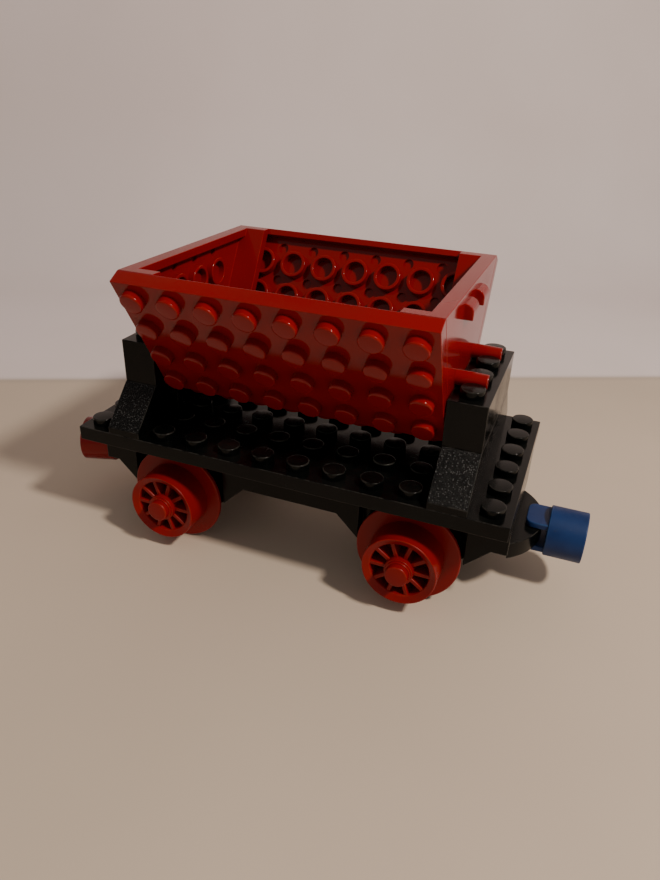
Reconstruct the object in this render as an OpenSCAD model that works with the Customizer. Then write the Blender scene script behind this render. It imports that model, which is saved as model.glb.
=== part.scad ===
// Toy tipping wagon built from stud-and-tube bricks, on two free-running wheelsets.
// Frame: origin on the floor under the middle of the deck, +X towards the front coupler,
// +Y to the wagon's left, +Z up. Millimetres.

/* [Brick grid] */
// Distance between neighbouring studs
pitch = 8; // [7.8:0.1:8.2]
// Height of a plate without its studs
plate_h = 3.2; // [3:0.1:3.4]
// Stud diameter
stud_d = 4.8; // [4.6:0.1:4.9]
// Stud height
stud_h = 1.7; // [1.4:0.1:2]
// Outer wall thickness of plates and bricks
wall = 1.45; // [1.2:0.05:1.5]
// Outer diameter of the tubes under a plate
tube_od = 6.4; // [6:0.1:6.5]
// Inner diameter of the tubes under a plate
tube_id = 4.8; // [4.4:0.1:5]

/* [Deck and chassis] */
// Studs along the deck
deck_nx = 12; // [12:2:16]
// Studs across the deck
deck_ny = 6; // [6:2:8]
// Height of the chassis box under the deck plate
chassis_h = 8.8; // [8:0.2:10]
// Depth of the recess behind each wheel
well_depth = 3; // [2:0.5:3]

/* [Wheels] */
// Distance between the two axles
wheelbase = 56; // [52:1:60]
// Flange radius, which is also the height of the axle above the floor
flange_r = 11.3; // [10.5:0.1:11.4]
// Tread radius
tread_r = 7.85; // [7:0.05:8.5]
// Number of spokes
spokes = 10; // [6:1:12]
// Axle diameter
axle_d = 3; // [2:0.5:3]

/* [Bucket] */
// Slope of the side walls from the horizontal
wall_angle = 60; // [55:1:65]
// Height of the bucket rim above the deck
rim_z = 37.4; // [36:0.1:40]
// Half width of the bucket between its walls at the rim
rim_half = 24.8; // [24:0.1:26]
// Diameter of the pivot bars
bar_d = 3.1; // [2.8:0.1:3.1]
// Length of the pivot bars outside the end wall
bar_len = 6.2; // [5:0.1:7]

/* [Couplers] */
// Radius of a coupler case
case_r = 5.5; // [5:0.1:6]
// Length of a coupler case
case_len = 7.8; // [7:0.1:9]
// Height of the coupler centreline above the floor
coupler_z = 14; // [13:0.1:15]
// Swing of the rear coupler to the wagon's right, as it stands
rear_swing = 18; // [0:1:18]

/* [Hidden] */
$fn = 48;
eps = 0.01;
gap = 0.1;                       // a brick is smaller than its grid cell by this on each side
roof = 1;                        // thickness of a plate above its hollow
brick_h = 3 * plate_h;
stud_r = stud_d / 2;
stud_hole_r = 1.2;
stud_hole_top = 1;               // plastic left above the hole inside a stud
running = 0.05;                  // radial clearance of a running fit

axle_z = flange_r;
axle_drop = 16.6;                // from the deck's top face down to the axle
deck_z = axle_z + axle_drop;
frame_z = deck_z - plate_h;      // underside of the deck plate
rail_z = frame_z - chassis_h;    // lower edge of the chassis box
deck_x = deck_nx * pitch / 2 - gap;
chassis_ny = 4;
rail_y = chassis_ny * pitch / 2 - gap;
rail_t = 1.6;
roof_t = 1.2;
guard_half = 16.7;               // half length of a wheel guard where it leaves the chassis box
well_half = 11.5;                // half length of the recess behind a wheel

axle_x = wheelbase / 2;
axle_half = 22;
flange_back = rail_y + 0.25;
flange_front = flange_back + 1;
rim_face = 23.95;                // outer face of the rim and of the hub collar
hub_face = 25.6;                 // outer face of the stud on the hub

bucket_nx = 8;
support_x = (bucket_nx + 1) / 2 * pitch;   // centre of each bucket support
bucket_x = bucket_nx * pitch / 2 - gap;
slope_rows = 4;
slope_len = slope_rows * pitch - 2 * gap;
rim_top = deck_z + rim_z;
foot_half = rim_half - slope_len * cos(wall_angle);
foot_top = rim_top - slope_len * sin(wall_angle);
end_depth = pitch - gap;
end_t = 1.6;
flange_t = 2.3;
bar_y = pitch;
bar_r = bar_d / 2;
bar_z = deck_z + 2 * brick_h + bar_r + running;
bar_taper = 0.12;
pin_head_r = 2.3;
pin_head_t = 0.7;

swing_x = deck_x - 8.9;          // centre of each coupler's swing
tongue_r = 14.3;
tongue_h = 3.8;
slot_r = 12;
slot_half_w = 1.1;
slot_half_angle = 26;
slot_top = 0.8;                  // roof of the slot, above the coupler centreline
coupler_pin_r = 1;
case_x = swing_x + 15.4;         // rear face of the coupler case
tab_t = 1.35;
tab_gap = 0.25;
magnet_r = 4.3;
magnet_len = 5;
magnet_back = case_x + case_len - 0.2 - magnet_len;

black = "#1c1d1f";
red = "#c4121a";
blue = "#1d5fa8";
steel = "#b8bcc0";

// ---- Brick system -------------------------------------------------------

// Box centred on X and Y, standing on z = 0
module slab(x, y, h) {
    translate([-x / 2, -y / 2, 0]) cube([x, y, h]);
}

// Calls its children at every cell of a stud grid
module at_grid(nx, ny) {
    for (i = [0 : nx - 1], j = [0 : ny - 1])
        translate([(i - (nx - 1) / 2) * pitch, (j - (ny - 1) / 2) * pitch, 0]) children();
}

module studs(nx, ny) {
    at_grid(nx, ny) translate([0, 0, -eps]) cylinder(r = stud_r, h = stud_h + eps);
}

// Hollow plate with studs above and tubes below, standing on z = 0
module plate(nx, ny) {
    difference() {
        union() {
            difference() {
                slab(nx * pitch - 2 * gap, ny * pitch - 2 * gap, plate_h);
                translate([0, 0, -eps])
                    slab(nx * pitch - 2 * (gap + wall), ny * pitch - 2 * (gap + wall), plate_h - roof + eps);
            }
            at_grid(nx - 1, ny - 1) difference() {
                cylinder(d = tube_od, h = plate_h - roof + eps);
                translate([0, 0, -eps]) cylinder(d = tube_id, h = plate_h - roof + eps);
            }
            translate([0, 0, plate_h]) studs(nx, ny);
        }
        translate([0, 0, plate_h - roof - eps]) at_grid(nx, ny)
            cylinder(r = stud_hole_r, h = roof + stud_h - stud_hole_top);
    }
}

// Hollow brick one stud wide along X, with posts below between its studs
module narrow_brick(ny) {
    post_r = 1.5;
    inner_x = pitch - 2 * (gap + wall);
    difference() {
        slab(pitch - 2 * gap, ny * pitch - 2 * gap, brick_h);
        translate([0, 0, -eps]) slab(inner_x, ny * pitch - 2 * (gap + wall), brick_h - wall + eps);
    }
    at_grid(1, ny - 1) cylinder(r = post_r, h = brick_h - wall + eps);
    translate([0, 0, brick_h]) studs(1, ny);
}

// Outline of a slope brick in Y and Z, its slope towards -Y, inset by t
function slope_outline(t) = let (
    lip = 1.5,
    foot = -pitch + gap,
    run = pitch - gap,
    rise = brick_h - lip,
    shift = t * sqrt(run * run + rise * rise) / rise,
    low = t > 0 ? -eps : 0,
    top = brick_h - t,
    start = foot + t)
    [[start, low], [pitch - gap - t, low], [pitch - gap - t, top],
     [foot + (top - lip) * run / rise + shift, top],
     [start, lip + (start - foot - shift) * rise / run]];

// Slope brick, one stud wide along X and two deep, its low edge towards -Y
module slope_brick() {
    body = pitch - 2 * gap;
    hollow = body - 2 * wall;
    difference() {
        translate([-body / 2, 0, 0]) rotate([90, 0, 90]) linear_extrude(body) polygon(slope_outline(0));
        translate([-hollow / 2, 0, 0]) rotate([90, 0, 90]) linear_extrude(hollow) polygon(slope_outline(wall));
    }
    translate([0, pitch / 2, brick_h]) studs(1, 1);
}

// ---- Deck and chassis ---------------------------------------------------

module deck_plate() color(black) translate([0, 0, frame_z]) plate(deck_nx, deck_ny);

// Outline in X and Z of one guard below the chassis box, centred on its axle
function guard_outline() = let (low_half = 9, low = frame_z - 16.4)
    [[-guard_half, rail_z + eps], [-low_half, low], [low_half, low], [guard_half, rail_z + eps]];

// Left side of the chassis: the wall, its two guards, and the thicker wall behind each recess
module chassis_side() {
    boss_half = well_half + rail_t;
    boss_t = well_depth + rail_t;
    slot_half = axle_d / 2 + 0.7;
    translate([-deck_x, rail_y - rail_t, rail_z]) cube([2 * deck_x, rail_t, chassis_h]);
    for (x = [-axle_x, axle_x]) translate([x, 0, 0]) difference() {
        union() {
            translate([0, rail_y, 0]) rotate([90, 0, 0]) linear_extrude(rail_t) polygon(guard_outline());
            intersection() {
                translate([0, rail_y, 0]) rotate([90, 0, 0]) linear_extrude(boss_t)
                    polygon(concat(guard_outline(), [[guard_half, frame_z - eps], [-guard_half, frame_z - eps]]));
                translate([-boss_half, 0, 0]) cube([2 * boss_half, rail_y, frame_z]);
            }
        }
        translate([-slot_half, 0, 0]) cube([2 * slot_half, rail_y, axle_z + slot_half]);
    }
}

// Wheel recesses, cut into the chassis sides from outside
module wheel_wells() {
    corner = 4;
    well_top = frame_z - 2.4;
    for (x = [-axle_x, axle_x], side = [-1, 1]) translate([x, side * rail_y, 0]) {
        translate([-well_half, -well_depth, 0]) cube([2 * well_half, 2 * well_depth, well_top - corner]);
        translate([-well_half + corner, -well_depth, 0])
            cube([2 * (well_half - corner), 2 * well_depth, well_top]);
        for (end = [-1, 1]) translate([end * (well_half - corner), 0, well_top - corner])
            rotate([90, 0, 0]) cylinder(r = corner, h = 2 * well_depth, center = true);
    }
}

module chassis_frame() color(black) {
    end_wall = 1.5;
    difference() {
        union() {
            chassis_side();
            mirror([0, 1, 0]) chassis_side();
            for (side = [0, 1]) mirror([side, 0, 0]) translate([deck_x - end_wall, -rail_y, rail_z])
                cube([end_wall, 2 * rail_y, chassis_h]);
            translate([0, 0, frame_z - roof_t]) slab(2 * deck_x, 2 * rail_y, roof_t);
        }
        wheel_wells();
    }
    for (side = [-1, 1]) translate([0, side * (rail_y + gap - pitch / 2), frame_z]) studs(deck_nx, 1);
}

// Block that hangs in the chassis and carries one axle
module axle_carrier() {
    cheek_y = 11.2;
    cheek_t = 3.2;
    half_x = 5;
    top_t = 1.6;
    top_z = frame_z - roof_t;
    low_z = axle_z - 3.4;
    bore_r = axle_d / 2 + running;
    difference() {
        union() {
            for (side = [-1, 1]) translate([-half_x, side * (cheek_y - cheek_t / 2) - cheek_t / 2, low_z])
                cube([2 * half_x, cheek_t, top_z - low_z]);
            translate([0, 0, top_z - top_t]) slab(2 * half_x, 2 * cheek_y, top_t);
        }
        translate([0, 0, axle_z]) rotate([90, 0, 0]) cylinder(r = bore_r, h = 3 * cheek_y, center = true);
    }
}

module front_axle_carrier() color(black) translate([axle_x, 0, 0]) axle_carrier();
module rear_axle_carrier() color(black) translate([-axle_x, 0, 0]) axle_carrier();

// Wedge around +X, from the swing centre outwards
module swing_wedge(half_angle, reach, h) {
    linear_extrude(h) polygon([[0, 0], [reach, -reach * tan(half_angle)], [reach, reach * tan(half_angle)]]);
}

// Blind arc slot in the underside of the tongue, in which a coupler's pin swings
module swing_slot() {
    depth = tongue_h + slot_top;
    translate([swing_x, 0, coupler_z - tongue_h]) intersection() {
        difference() {
            cylinder(r = slot_r + slot_half_w, h = depth, $fn = 96);
            translate([0, 0, -1]) cylinder(r = slot_r - slot_half_w, h = depth + 2, $fn = 96);
        }
        swing_wedge(slot_half_angle, 2 * slot_r, depth);
    }
}

// Bar that plugs into the chassis end; its round tongue carries the coupler
module coupling_bar() {
    tail_x = deck_x - 11.9;
    tail_y = 9.5;
    tongue_x = deck_x - 0.4;
    tongue_z = coupler_z - tongue_h / 2;
    block_x = deck_x - 1.5;
    difference() {
        union() {
            translate([tail_x, -tail_y, tongue_z]) cube([block_x - tail_x, 2 * tail_y, frame_z - roof_t - tongue_z]);
            translate([block_x - eps, -tail_y, tongue_z]) cube([tongue_x + 2 * eps - block_x, 2 * tail_y, tongue_h]);
            intersection() {
                translate([swing_x, 0, tongue_z]) cylinder(r = tongue_r, h = tongue_h, $fn = 96);
                translate([tongue_x, -tongue_r - 1, tongue_z - 1]) cube([tongue_r, 2 * tongue_r + 2, tongue_h + 2]);
            }
        }
        swing_slot();
    }
}

module front_coupling_bar() color(black) coupling_bar();
module rear_coupling_bar() color(black) mirror([1, 0, 0]) coupling_bar();

// ---- Bucket supports ----------------------------------------------------

module at_support(end) translate([end * support_x, 0, deck_z]) children();

module slope_at(end, side) {
    color(black) at_support(end) mirror([0, side > 0 ? 1 : 0, 0]) translate([0, -2 * pitch, 0]) slope_brick();
}

module front_left_slope() slope_at(1, 1);
module front_right_slope() slope_at(1, -1);
module rear_left_slope() slope_at(-1, 1);
module rear_right_slope() slope_at(-1, -1);
module front_centre_brick() color(black) at_support(1) narrow_brick(2);
module rear_centre_brick() color(black) at_support(-1) narrow_brick(2);
module front_top_brick() color(black) at_support(1) translate([0, 0, brick_h]) narrow_brick(4);
module rear_top_brick() color(black) at_support(-1) translate([0, 0, brick_h]) narrow_brick(4);

// ---- Wheelsets ----------------------------------------------------------

// One wheel, its axis along Y and its outer face towards +Y
module wheel() {
    edge = 0.3;
    rim_inner = 6.2;
    collar_r = 3.05;
    pocket_back = flange_front + 0.6;
    spoke_front = rim_face - 0.45;
    spoke_back = spoke_front - 2.6;
    spoke_w = 0.9;
    back_boss_r = 3.2;
    back_boss = rail_y - well_depth + 0.3;
    rotate([-90, 0, 0]) {
        difference() {
            rotate_extrude($fn = 96) polygon([
                [0, back_boss], [back_boss_r, back_boss], [back_boss_r, flange_back],
                [flange_r - edge, flange_back], [flange_r, flange_back + edge],
                [flange_r, flange_front - edge], [flange_r - edge, flange_front],
                [tread_r, flange_front], [tread_r, rim_face - edge], [tread_r - edge, rim_face],
                [rim_inner, rim_face], [rim_inner, pocket_back], [collar_r, pocket_back],
                [collar_r, rim_face - edge], [collar_r - edge, rim_face],
                [stud_r, rim_face], [stud_r, hub_face - edge / 2], [stud_r - edge / 2, hub_face],
                [0, hub_face]]);
            translate([0, 0, -1]) cylinder(d = axle_d, h = axle_half + 1);
        }
        for (k = [0 : spokes - 1]) rotate([0, 0, k * 360 / spokes])
            translate([collar_r - edge, -spoke_w / 2, spoke_back])
                cube([rim_inner - collar_r + 2 * edge, spoke_w, spoke_front - spoke_back]);
    }
}

module axle() {
    rotate([90, 0, 0]) cylinder(d = axle_d, h = 2 * axle_half, center = true);
}

module wheel_at(end, side) {
    color(red) translate([end * axle_x, 0, axle_z]) mirror([0, side > 0 ? 0 : 1, 0]) wheel();
}

module front_axle() color(steel) translate([axle_x, 0, axle_z]) axle();
module rear_axle() color(steel) translate([-axle_x, 0, axle_z]) axle();
module front_left_wheel() wheel_at(1, 1);
module front_right_wheel() wheel_at(1, -1);
module rear_left_wheel() wheel_at(-1, 1);
module rear_right_wheel() wheel_at(-1, -1);

// ---- Couplers -----------------------------------------------------------

// Fork tab in plan, its inner end rounded
module tab_outline() {
    tab_y = 4;
    tab_x = swing_x + 10.7;
    corner = 2;
    translate([tab_x + corner, -tab_y]) square([case_x + eps - tab_x - corner, 2 * tab_y]);
    translate([tab_x, -tab_y + corner]) square([corner + eps, 2 * (tab_y - corner)]);
    for (side = [-1, 1]) translate([tab_x + corner, side * (tab_y - corner)]) circle(corner);
}

module coupler_case() {
    edge = 0.6;
    difference() {
        union() {
            translate([case_x, 0, coupler_z]) rotate([0, 90, 0]) rotate_extrude($fn = 96) polygon([
                [0, 0], [case_r, 0], [case_r, case_len - edge], [case_r - edge, case_len], [0, case_len]]);
            for (z = [tongue_h / 2 + tab_gap, -tongue_h / 2 - tab_gap - tab_t])
                translate([0, 0, coupler_z + z]) linear_extrude(tab_t) tab_outline();
        }
        translate([magnet_back, 0, coupler_z]) rotate([0, 90, 0]) cylinder(r = magnet_r, h = case_len, $fn = 72);
        translate([swing_x + slot_r, 0, 0]) cylinder(r = coupler_pin_r, h = coupler_z);
    }
}

module coupler_magnet() {
    translate([magnet_back, 0, coupler_z]) rotate([0, 90, 0]) cylinder(r = magnet_r, h = magnet_len, $fn = 72);
}

// Pin that stands up from the lower tab into the slot
module coupler_pin() {
    drop = tongue_h / 2 + tab_gap + tab_t;
    translate([swing_x + slot_r, 0, coupler_z - drop]) cylinder(r = coupler_pin_r, h = drop + slot_top - 0.3);
}

// Places a coupler piece at the rear end, swung about its own centre
module at_rear() {
    translate([-swing_x, 0, 0]) rotate([0, 0, 180 + rear_swing]) translate([-swing_x, 0, 0]) children();
}

module front_coupler_case() color(blue) coupler_case();
module front_coupler_magnet() color(steel) coupler_magnet();
module front_coupler_pin() color(blue) coupler_pin();
module rear_coupler_case() color(red) at_rear() coupler_case();
module rear_coupler_magnet() color(steel) at_rear() coupler_magnet();
module rear_coupler_pin() color(red) at_rear() coupler_pin();

// ---- Bucket -------------------------------------------------------------

// Puts a plate on the left slope: its hollow side faces in, its low edge at the foot
module on_left_slope() {
    translate([0, foot_half, foot_top]) rotate([wall_angle, 0, 0]) children();
}

// Side wall: a plate with its studs facing out and its hollow side facing into the bucket
module left_wall() {
    on_left_slope() translate([0, slope_len / 2, 0]) mirror([0, 0, 1]) plate(bucket_nx, slope_rows);
}

module bucket_left_wall() color(red) left_wall();
module bucket_right_wall() color(red) mirror([0, 1, 0]) left_wall();
module bucket_floor() color(red) translate([0, 0, foot_top]) mirror([0, 0, 1]) plate(bucket_nx, 2);

// Outline of the bucket's inside in Y and Z, inset by t from the plates
function trough(t) = let (
    side = t / sin(wall_angle),
    low = foot_top + t,
    low_half = foot_half + t / tan(wall_angle) - side)
    [[-rim_half + side, rim_top], [-low_half, low], [low_half, low], [rim_half - side, rim_top]];

module trough_slice(t, x0, x1, above = 0) {
    translate([x0, 0, 0]) rotate([90, 0, 90]) linear_extrude(x1 - x0)
        polygon(concat(trough(t), above > 0 ? [[rim_half, rim_top + above], [-rim_half, rim_top + above]] : []));
}

// Front end piece: end wall, rim, flanges with studs, catch lugs and the right pivot bar
module bucket_end() {
    rim_w = 3.1;
    rim_h = 1.8;
    ring_z = rim_top - 7.5;
    ring_len = 1.5;
    dimple_z = rim_top - 2.9;
    inner_x = bucket_x - end_depth;
    wall_x = bucket_x - end_t;
    lug_w = 5.5;
    lug_h = 3.1;
    lug_out = 1.75;
    lug_y = 2.6;
    lug_z = rim_top - 5.2;
    difference() {
        union() {
            difference() {
                trough_slice(0, inner_x, bucket_x);
                intersection() {
                    trough_slice(flange_t, inner_x - 1, bucket_x - rim_w, 1);
                    translate([0, -rim_half, 0]) cube([bucket_x, 2 * rim_half, 2 * rim_top]);
                }
                intersection() {
                    trough_slice(flange_t, inner_x - 1, wall_x);
                    translate([0, -rim_half, 0]) cube([bucket_x, 2 * rim_half, rim_top - rim_h]);
                }
            }
            for (y = [-pitch, 0, pitch]) translate([wall_x - ring_len, y, ring_z]) rotate([0, 90, 0]) difference() {
                cylinder(d = tube_od, h = ring_len + eps);
                translate([0, 0, -eps]) cylinder(d = tube_id, h = ring_len);
            }
            for (side = [-1, 1]) mirror([0, side > 0 ? 0 : 1, 0]) on_left_slope()
                for (row = [0 : slope_rows - 1]) translate([inner_x + pitch / 2, (row + 0.5) * pitch - gap, 0])
                    mirror([0, 0, 1]) studs(1, 1);
            translate([inner_x + pitch / 2, 0, foot_top]) mirror([0, 0, 1]) studs(1, 2);
            translate([bucket_x - eps, -bar_y, bar_z]) rotate([0, 90, 0]) rotate_extrude() polygon([
                [0, 0], [bar_r, 0], [bar_r, bar_len / 2], [bar_r - bar_taper, bar_len], [0, bar_len]]);
            for (side = [-1, 1]) translate([bucket_x - eps, side * (lug_y + lug_w / 2) - lug_w / 2, lug_z]) {
                cube([lug_out, lug_w, lug_h - lug_out + 0.3]);
                intersection() {
                    translate([0, 0, lug_h - lug_out]) rotate([-90, 0, 0]) cylinder(r = lug_out, h = lug_w);
                    cube([lug_out, lug_w, lug_h]);
                }
            }
        }
        for (y = [-pitch, 0, pitch]) translate([wall_x - 1, y, dimple_z]) rotate([0, 90, 0])
            cylinder(r = 1, h = 1.8);
        translate([wall_x - 1, bar_y, bar_z]) rotate([0, 90, 0]) {
            cylinder(r = bar_r + running, h = end_t + 2);
            cylinder(r = pin_head_r + running, h = 1 + pin_head_t + 2 * running);
        }
    }
}

module bucket_front_end() color(red) bucket_end();
module bucket_rear_end() color(red) mirror([1, 0, 0]) bucket_end();

// Left pair of pivot bars, each held in its end wall by a head let into the wall's inner face
module left_pivot_pins() color(red) {
    head_x = bucket_x - end_t;
    for (end = [0, 1]) mirror([end, 0, 0]) translate([0, bar_y, bar_z]) rotate([0, 90, 0]) rotate_extrude()
        polygon([[0, head_x], [pin_head_r, head_x], [pin_head_r, head_x + pin_head_t], [bar_r, head_x + pin_head_t],
            [bar_r, bucket_x + bar_len / 2], [bar_r - bar_taper, bucket_x + bar_len], [0, bucket_x + bar_len]]);
}

// ---- Nodes --------------------------------------------------------------

deck_plate();
chassis_frame();
front_axle_carrier();
rear_axle_carrier();
front_coupling_bar();
rear_coupling_bar();
front_left_slope();
front_right_slope();
rear_left_slope();
rear_right_slope();
front_centre_brick();
rear_centre_brick();
front_top_brick();
rear_top_brick();
front_axle();
front_left_wheel();
front_right_wheel();
rear_axle();
rear_left_wheel();
rear_right_wheel();
front_coupler_case();
front_coupler_magnet();
front_coupler_pin();
rear_coupler_case();
rear_coupler_magnet();
rear_coupler_pin();
left_pivot_pins();
bucket_floor();
bucket_left_wall();
bucket_right_wall();
bucket_front_end();
bucket_rear_end();
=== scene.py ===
import math

import bmesh
import bpy
from mathutils import Matrix, Vector


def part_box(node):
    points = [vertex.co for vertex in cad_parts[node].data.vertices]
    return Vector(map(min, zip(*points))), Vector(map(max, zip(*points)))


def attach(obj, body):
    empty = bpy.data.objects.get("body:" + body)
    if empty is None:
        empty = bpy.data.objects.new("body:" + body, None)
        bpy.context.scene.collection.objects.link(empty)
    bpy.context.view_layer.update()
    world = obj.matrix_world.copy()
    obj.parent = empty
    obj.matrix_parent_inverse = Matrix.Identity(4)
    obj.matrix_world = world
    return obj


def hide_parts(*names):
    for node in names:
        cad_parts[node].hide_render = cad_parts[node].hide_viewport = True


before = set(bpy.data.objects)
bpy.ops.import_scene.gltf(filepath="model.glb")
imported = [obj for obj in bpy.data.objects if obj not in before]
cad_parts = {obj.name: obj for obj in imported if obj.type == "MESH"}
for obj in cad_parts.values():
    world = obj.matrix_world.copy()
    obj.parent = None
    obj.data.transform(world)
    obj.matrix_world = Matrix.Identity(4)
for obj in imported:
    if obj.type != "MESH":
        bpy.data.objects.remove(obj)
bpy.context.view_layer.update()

# Toy tipping wagon. Its pieces are in millimetres in the frame's own axes, and finishPiece turns them into
# metres. Materials and the studio are in metres.
mm = 0.001
alongX = Matrix(((0, 0, 1, 0), (1, 0, 0, 0), (0, 1, 0, 0), (0, 0, 0, 1)))  # outline in Y and Z, depth along X
alongY = Matrix.Rotation(math.pi / 2, 4, "X")  # outline in X and Z, depth along -Y


def boxOf(node):
    low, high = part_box(node)
    return low / mm, high / mm


def move(x=0.0, y=0.0, z=0.0):
    return Matrix.Translation((x, y, z))


def turn(degrees, axis):
    return Matrix.Rotation(math.radians(degrees), 4, axis)


def flip(axis):
    return Matrix.Scale(-1, 4, axis)


leftRight = flip((0, 1, 0))
frontBack = flip((1, 0, 0))
upDown = flip((0, 0, 1))

# Camera. Its place, lens and sensor are in millimetres, its clip distances in metres.

cameraSet = {"place": (52.55, -131.33, 99.82), "azimuth": 20.53, "elevation": 28.28, "roll": 2.17,
             "lens": 28.0, "sensor": 36.0, "clip": (0.01, 20.0)}


def makeCamera():
    around, up = math.radians(cameraSet["azimuth"]), math.radians(cameraSet["elevation"])
    ahead = Vector((-math.sin(around) * math.cos(up), math.cos(around) * math.cos(up), -math.sin(up)))
    data = bpy.data.cameras.new("camera")
    data.lens, data.sensor_width = cameraSet["lens"], cameraSet["sensor"]
    data.clip_start, data.clip_end = cameraSet["clip"]
    camera = bpy.data.objects.new("camera", data)
    bpy.context.scene.collection.objects.link(camera)
    pose = ahead.to_track_quat("-Z", "Y").to_matrix().to_4x4() @ turn(cameraSet["roll"], "Z")
    camera.matrix_world = Matrix.Translation(Vector(cameraSet["place"]) * mm) @ pose
    bpy.context.scene.camera = camera


makeCamera()
print("camera set")

# Mesh helpers. A part is a bmesh whose faces carry edgeMask, 1 on every rounded edge.

# Angles in degrees. Cutters reach the length "past" beyond what they cut.
meshing = {"roundFrom": 30.0, "sharpFrom": 50.0, "flatWithin": 0.3, "weld": 1e-4, "narrow": 0.22,
           "cornerShare": 0.45, "past": 1.0}


def newPart():
    part = bmesh.new()
    part.faces.layers.float.new("edgeMask")
    return part


def addPart(target, part, place=None):
    holder = bpy.data.meshes.new("holder")
    part.to_mesh(holder)
    if place is not None:
        holder.transform(place)
        if place.determinant() < 0:
            holder.flip_normals()
    target.from_mesh(holder)
    bpy.data.meshes.remove(holder)
    return target


def placed(part, place=None):
    return addPart(newPart(), part, place)


def roundEdges(part, width, edges=None, steps=2):
    if edges is None:
        least = math.radians(meshing["roundFrom"])
        edges = [e for e in part.edges if e.is_manifold and e.calc_face_angle() > least]
    made = bmesh.ops.bevel(part, geom=edges, offset=width, offset_type="OFFSET", segments=steps, profile=0.5,
                           affect="EDGES", clamp_overlap=True, loop_slide=True)
    mask = part.faces.layers.float["edgeMask"]
    for face in made["faces"]:
        face[mask] = 1
    return part


def arc(centre, radius, low, high, steps):
    angles = [math.radians(low + (high - low) * k / steps) for k in range(steps + 1)]
    return [(centre[0] + radius * math.cos(a), centre[1] + radius * math.sin(a)) for a in angles]


def rounded(points, radius, sharp=(), steps=3):
    # Rounds the corners of a line of points, apart from its ends and those listed in sharp
    line = [Vector(points[0])]
    for k in range(1, len(points) - 1):
        before, corner, after = (Vector(points[j]) for j in (k - 1, k, k + 1))
        if k in sharp:
            line.append(corner)
            continue
        shorter = min((before - corner).length, (after - corner).length)
        reach = min(radius, shorter * meshing["cornerShare"])
        start = corner + (before - corner).normalized() * reach
        end = corner + (after - corner).normalized() * reach
        for s in range(steps + 1):
            t = s / steps
            line.append((1 - t) ** 2 * start + 2 * t * (1 - t) * corner + t * t * end)
    line.append(Vector(points[-1]))
    return line


def turned(profile, steps, closed=False):
    # Turns a line of (radius, height) points about Z; closed joins its last point to its first
    part = newPart()
    mask = part.faces.layers.float["edgeMask"]
    rings = []
    for radius, height in profile:
        count = steps if radius > meshing["weld"] else 1
        angles = [2 * math.pi * k / steps for k in range(count)]
        rings.append([part.verts.new((radius * math.cos(a), radius * math.sin(a), height)) for a in angles])
    pairs = list(zip(rings, rings[1:])) + ([(rings[-1], rings[0])] if closed else [])
    points = [Vector(p) for p in profile] + [Vector(profile[0])]
    for index, (low, high) in enumerate(pairs):
        narrow = (points[index] - points[index + 1]).length < meshing["narrow"]
        for k in range(steps):
            n = (k + 1) % steps
            corners = [low[k % len(low)], low[n % len(low)], high[n % len(high)], high[k % len(high)]]
            face = part.faces.new(list(dict.fromkeys(corners)))
            face[mask] = 1.0 if narrow else 0.0
    bmesh.ops.recalc_face_normals(part, faces=part.faces)
    return part


def prism(outline, low, high, edge=0.0, steps=2):
    part = newPart()
    lower = [part.verts.new((x, y, low)) for x, y in outline]
    upper = [part.verts.new((x, y, high)) for x, y in outline]
    part.faces.new(lower[::-1])
    part.faces.new(upper)
    for k in range(len(outline)):
        n = (k + 1) % len(outline)
        part.faces.new((lower[k], lower[n], upper[n], upper[k]))
    bmesh.ops.recalc_face_normals(part, faces=part.faces)
    return roundEdges(part, edge, steps=steps) if edge else part


def slab(low, high, edge=0.0):
    corners = [(low[0], low[1]), (high[0], low[1]), (high[0], high[1]), (low[0], high[1])]
    return prism(corners, low[2], high[2], edge)


def looseObject(part):
    mesh = bpy.data.meshes.new("loose")
    part.to_mesh(mesh)
    obj = bpy.data.objects.new("loose", mesh)
    bpy.context.scene.collection.objects.link(obj)
    return obj


def carve(base, tools, how="DIFFERENCE"):
    # Cuts the tools out of the base one after the other, or keeps what lies within them
    objects = [looseObject(part) for part in [base, *tools]]
    for tool in objects[1:]:
        cut = objects[0].modifiers.new("cut", "BOOLEAN")
        cut.operation, cut.solver, cut.object = how, "EXACT", tool
    part = newPart()
    part.from_object(objects[0], bpy.context.evaluated_depsgraph_get())
    for obj in objects:
        mesh = obj.data
        bpy.data.objects.remove(obj)
        bpy.data.meshes.remove(mesh)
    bmesh.ops.remove_doubles(part, verts=part.verts, dist=meshing["weld"])
    flat = math.radians(meshing["flatWithin"])
    bmesh.ops.dissolve_limit(part, angle_limit=flat, verts=part.verts, edges=part.edges)
    return part


def finishPiece(node, part, body, paints):
    name = node + "_look"
    mesh = bpy.data.meshes.new(name)
    part.to_mesh(mesh)
    part.free()
    mesh.transform(Matrix.Scale(mm, 4))
    mesh.shade_smooth()
    mesh.set_sharp_from_angle(angle=math.radians(meshing["sharpFrom"]))
    for look in paints:
        mesh.materials.append(look)
    piece = bpy.data.objects.new(name, mesh)
    bpy.context.scene.collection.objects.link(piece)
    shading = piece.modifiers.new("flatFaces", "WEIGHTED_NORMAL")
    shading.keep_sharp = True
    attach(piece, body)
    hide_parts(node)


# Shader groups

roughening = {"scratch": 0.15, "dust": 0.6, "spots": 0.15}


def newGroup(name, inputs, outputs):
    group = bpy.data.node_groups.new(name, "ShaderNodeTree")
    for label, value in inputs.items():
        group.interface.new_socket(label, in_out="INPUT", socket_type="NodeSocketFloat").default_value = value
    for label in outputs:
        group.interface.new_socket(label, in_out="OUTPUT", socket_type="NodeSocketFloat")
    return group, group.nodes.new("NodeGroupInput"), group.nodes.new("NodeGroupOutput")


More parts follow.
